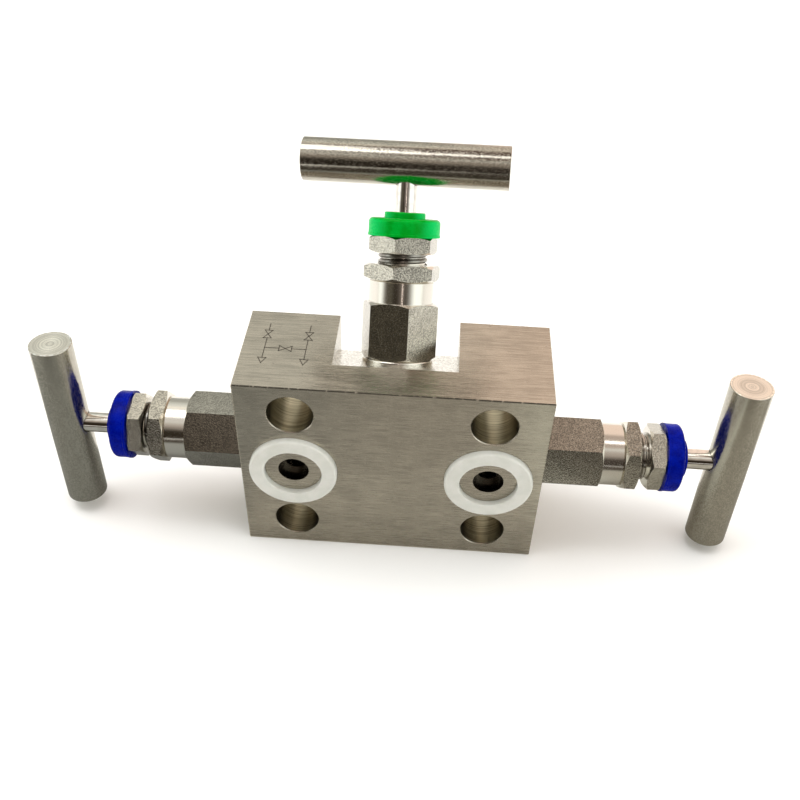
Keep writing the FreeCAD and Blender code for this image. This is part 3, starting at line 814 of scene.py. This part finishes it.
def painted_table_shade():
    """Card over the table before the block that shows in the steel's reflections and nowhere else,
    painted with the light and shade of the table.
    """
    card = plane("painted_table_shade", (-CARD_SIDE_MM * MM, CARD_FRONT_MM * MM),
                 (CARD_SIDE_MM * MM, CARD_REAR_MM * MM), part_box("body_block")[0].z + CARD_RISE)
    s = Finish("painted_table_shade")
    x, y, _ = s.split(s.point_mm())
    near = s.blend(s.step(x, *CARD_MIDDLE_MM), CARD_LEFT, CARD_MIDDLE)
    near = s.blend(s.step(x, *CARD_BRIGHT_MM), near, CARD_BRIGHT)
    near = s.blend(s.step(x, *CARD_RIGHT_MM), near, CARD_RIGHT)
    # Painted light near the block's foot, lifting the shade that falls on the card there
    foot = s.both(s.step(y, *CARD_FOOT_DEPTH_MM), s.step(s.math("ABSOLUTE", x), *CARD_FOOT_SIDE_MM))
    near = s.blend(foot, near, CARD_FOOT)
    s.put(Base_Color=s.blend(s.step(y, *CARD_DARK_MM), CARD_DARK, near), Roughness=0.9)
    assign(card, s.material)
    card.visible_camera = False
    card.visible_diffuse = False
    card.visible_shadow = False


def studio_world():
    """Room by elevation and by azimuth from the front: bright side walls, a rear wall that
    lightens upwards with a warm patch at its right, a ceiling in three shades, and a front wall
    that is dim low down."""
    world = bpy.data.worlds.new("studio")
    bpy.context.scene.world = world
    s = Shader(world)
    x, y, z = s.split(s.coordinates.outputs["Generated"])
    elevation = s.math("DEGREES", s.math("ARCTAN2", z, s.radius(x, y)))
    azimuth = s.math("DEGREES", s.math("ARCTAN2", x, s.math("MULTIPLY", y, -1.0)))
    from_rear = s.math("SUBTRACT", 180.0, s.math("ABSOLUTE", azimuth))

    rear = s.blend(s.step(elevation, *REAR_RISE), REAR_LOW, REAR_HIGH)
    rear = s.blend(s.step(elevation, *REAR_TOP_RISE), rear, REAR_TOP)
    rear = s.blend(s.both(s.step(x, *WARM_ACROSS), s.step(y, *WARM_AHEAD)), rear, WARM_PATCH)
    room = s.blend(s.step(from_rear, *SIDE_FROM_REAR), SIDE_WALLS, rear)

    ceiling = s.blend(s.step(x, *CEILING_MIDDLE_ACROSS), CEILING_LEFT, CEILING_MIDDLE)
    ceiling = s.blend(s.step(x, *CEILING_RIGHT_ACROSS), ceiling, CEILING_RIGHT)
    room = s.blend(s.step(elevation, *CEILING_RISE), room, ceiling)

    ahead = s.both(s.step(azimuth, *FRONT_LEFT), s.step(azimuth, *FRONT_RIGHT))
    room = s.blend(s.both(ahead, s.step(elevation, *FRONT_RISE)), room, FRONT_WALL)
    leftward = s.math("MINIMUM", azimuth, 0.0)
    tilted = s.math("ADD", elevation, s.math("MULTIPLY", leftward, DIM_TILT))
    dim = s.blend(s.step(azimuth, *DIM_TURN), DIM_LEFT, DIM_RIGHT)
    room = s.blend(s.both(ahead, s.step(tilted, *DIM_RISE)), room, dim)
    s.feed(s.nodes["Background"].inputs["Color"], room)


def area_light(name, place, target, size, radiance, tint=(1, 1, 1)):
    """Soft rectangular light aimed at a point, as bright as its radiance."""
    data = bpy.data.lights.new(name, "AREA")
    data.shape = "RECTANGLE"
    data.size, data.size_y = size
    data.energy = radiance * math.pi * size[0] * size[1]
    data.color = tint
    light = bpy.data.objects.new(name, data)
    bpy.context.collection.objects.link(light)
    light.location = place
    light.rotation_euler = (Vector(target) - Vector(place)).to_track_quat("-Z", "Y").to_euler()
    return light


def studio_lights():
    """Soft box above the left, tube overhead, strip in front, and a fill that isn't mirrored."""
    lights = {name: area_light(name, **values) for name, values in LIGHTS.items()}
    lights["table_fill"].visible_glossy = False


bpy.context.scene.view_settings.view_transform = "Standard"
place_camera()
studio_world()
studio_lights()
studio_floor()
studio_backdrop()
painted_table_shade()
dress_frame()
adjuster_threads()
pipe_threads()
flow_diagram()

bpy.context.view_layer.update()
